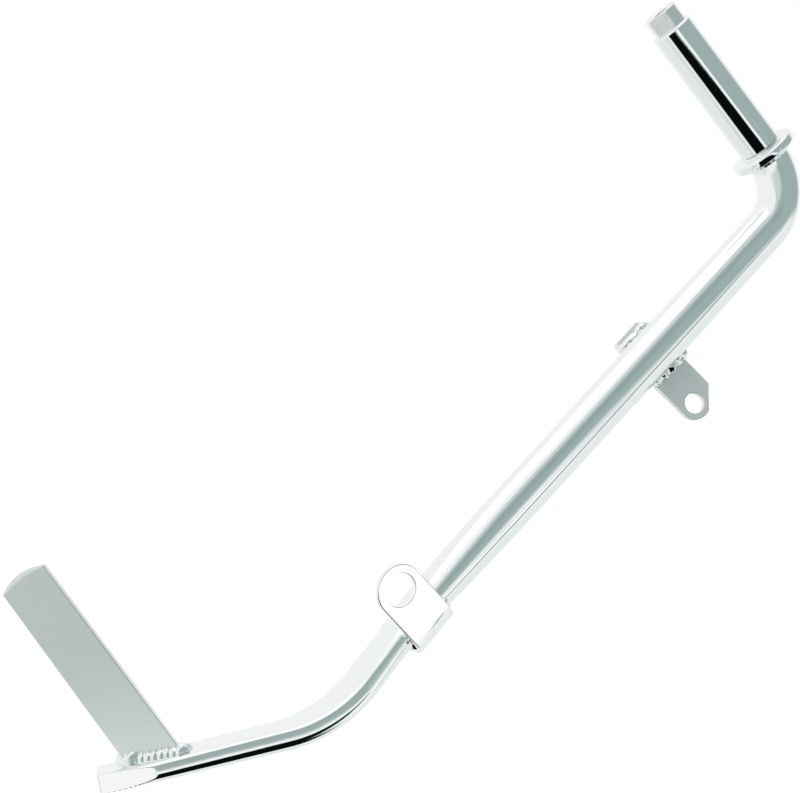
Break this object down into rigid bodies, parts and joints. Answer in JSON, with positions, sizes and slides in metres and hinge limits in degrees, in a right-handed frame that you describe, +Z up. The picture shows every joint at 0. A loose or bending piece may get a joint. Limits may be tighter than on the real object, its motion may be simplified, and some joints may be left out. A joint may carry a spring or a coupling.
{
  "type": "motorcycle kickstand leg",
  "caption": "Chromed side-stand leg: bent round bar with an angled pivot shaft and collar, a drilled spring plate, a bumper bracket and a flattened foot with a kick lever.",
  "frame": {"origin": "on the axis of the pivot shaft, at the upper face of the thrust collar", "axes": "X-Z is the plane of the pivot shaft and the bar, with the foot running level towards -X and +Z up; -Y is the side of the bracket's ear and the toe facet; the pivot shaft points up and towards -X, 31 degrees off +Z"},
  "size_m": [0.3135, 0.0374, 0.2298],
  "materials": {
    "chromed_bar": "bright chrome plate",
    "satin_chrome": "satin chrome over unpolished plate",
    "plated_weld": "plated weld bead"
  },
  "bodies": {
    "root": {"leg_bar": "chromed_bar", "pivot_shaft": "chromed_bar", "thrust_collar": "chromed_bar", "cross_plate": "satin_chrome", "bumper_bracket": "chromed_bar", "kick_lever": "satin_chrome", "collar_weld": "plated_weld", "spring_weld_upper": "plated_weld", "spring_weld_lower": "plated_weld", "stop_weld": "plated_weld", "bracket_weld_upper": "plated_weld", "bracket_weld_lower": "plated_weld", "bracket_weld_rear": "plated_weld", "lever_weld_front": "plated_weld", "lever_weld_rear": "plated_weld", "lever_weld_heel": "plated_weld", "lever_weld_toe": "plated_weld"}
  },
  "joints": []
}
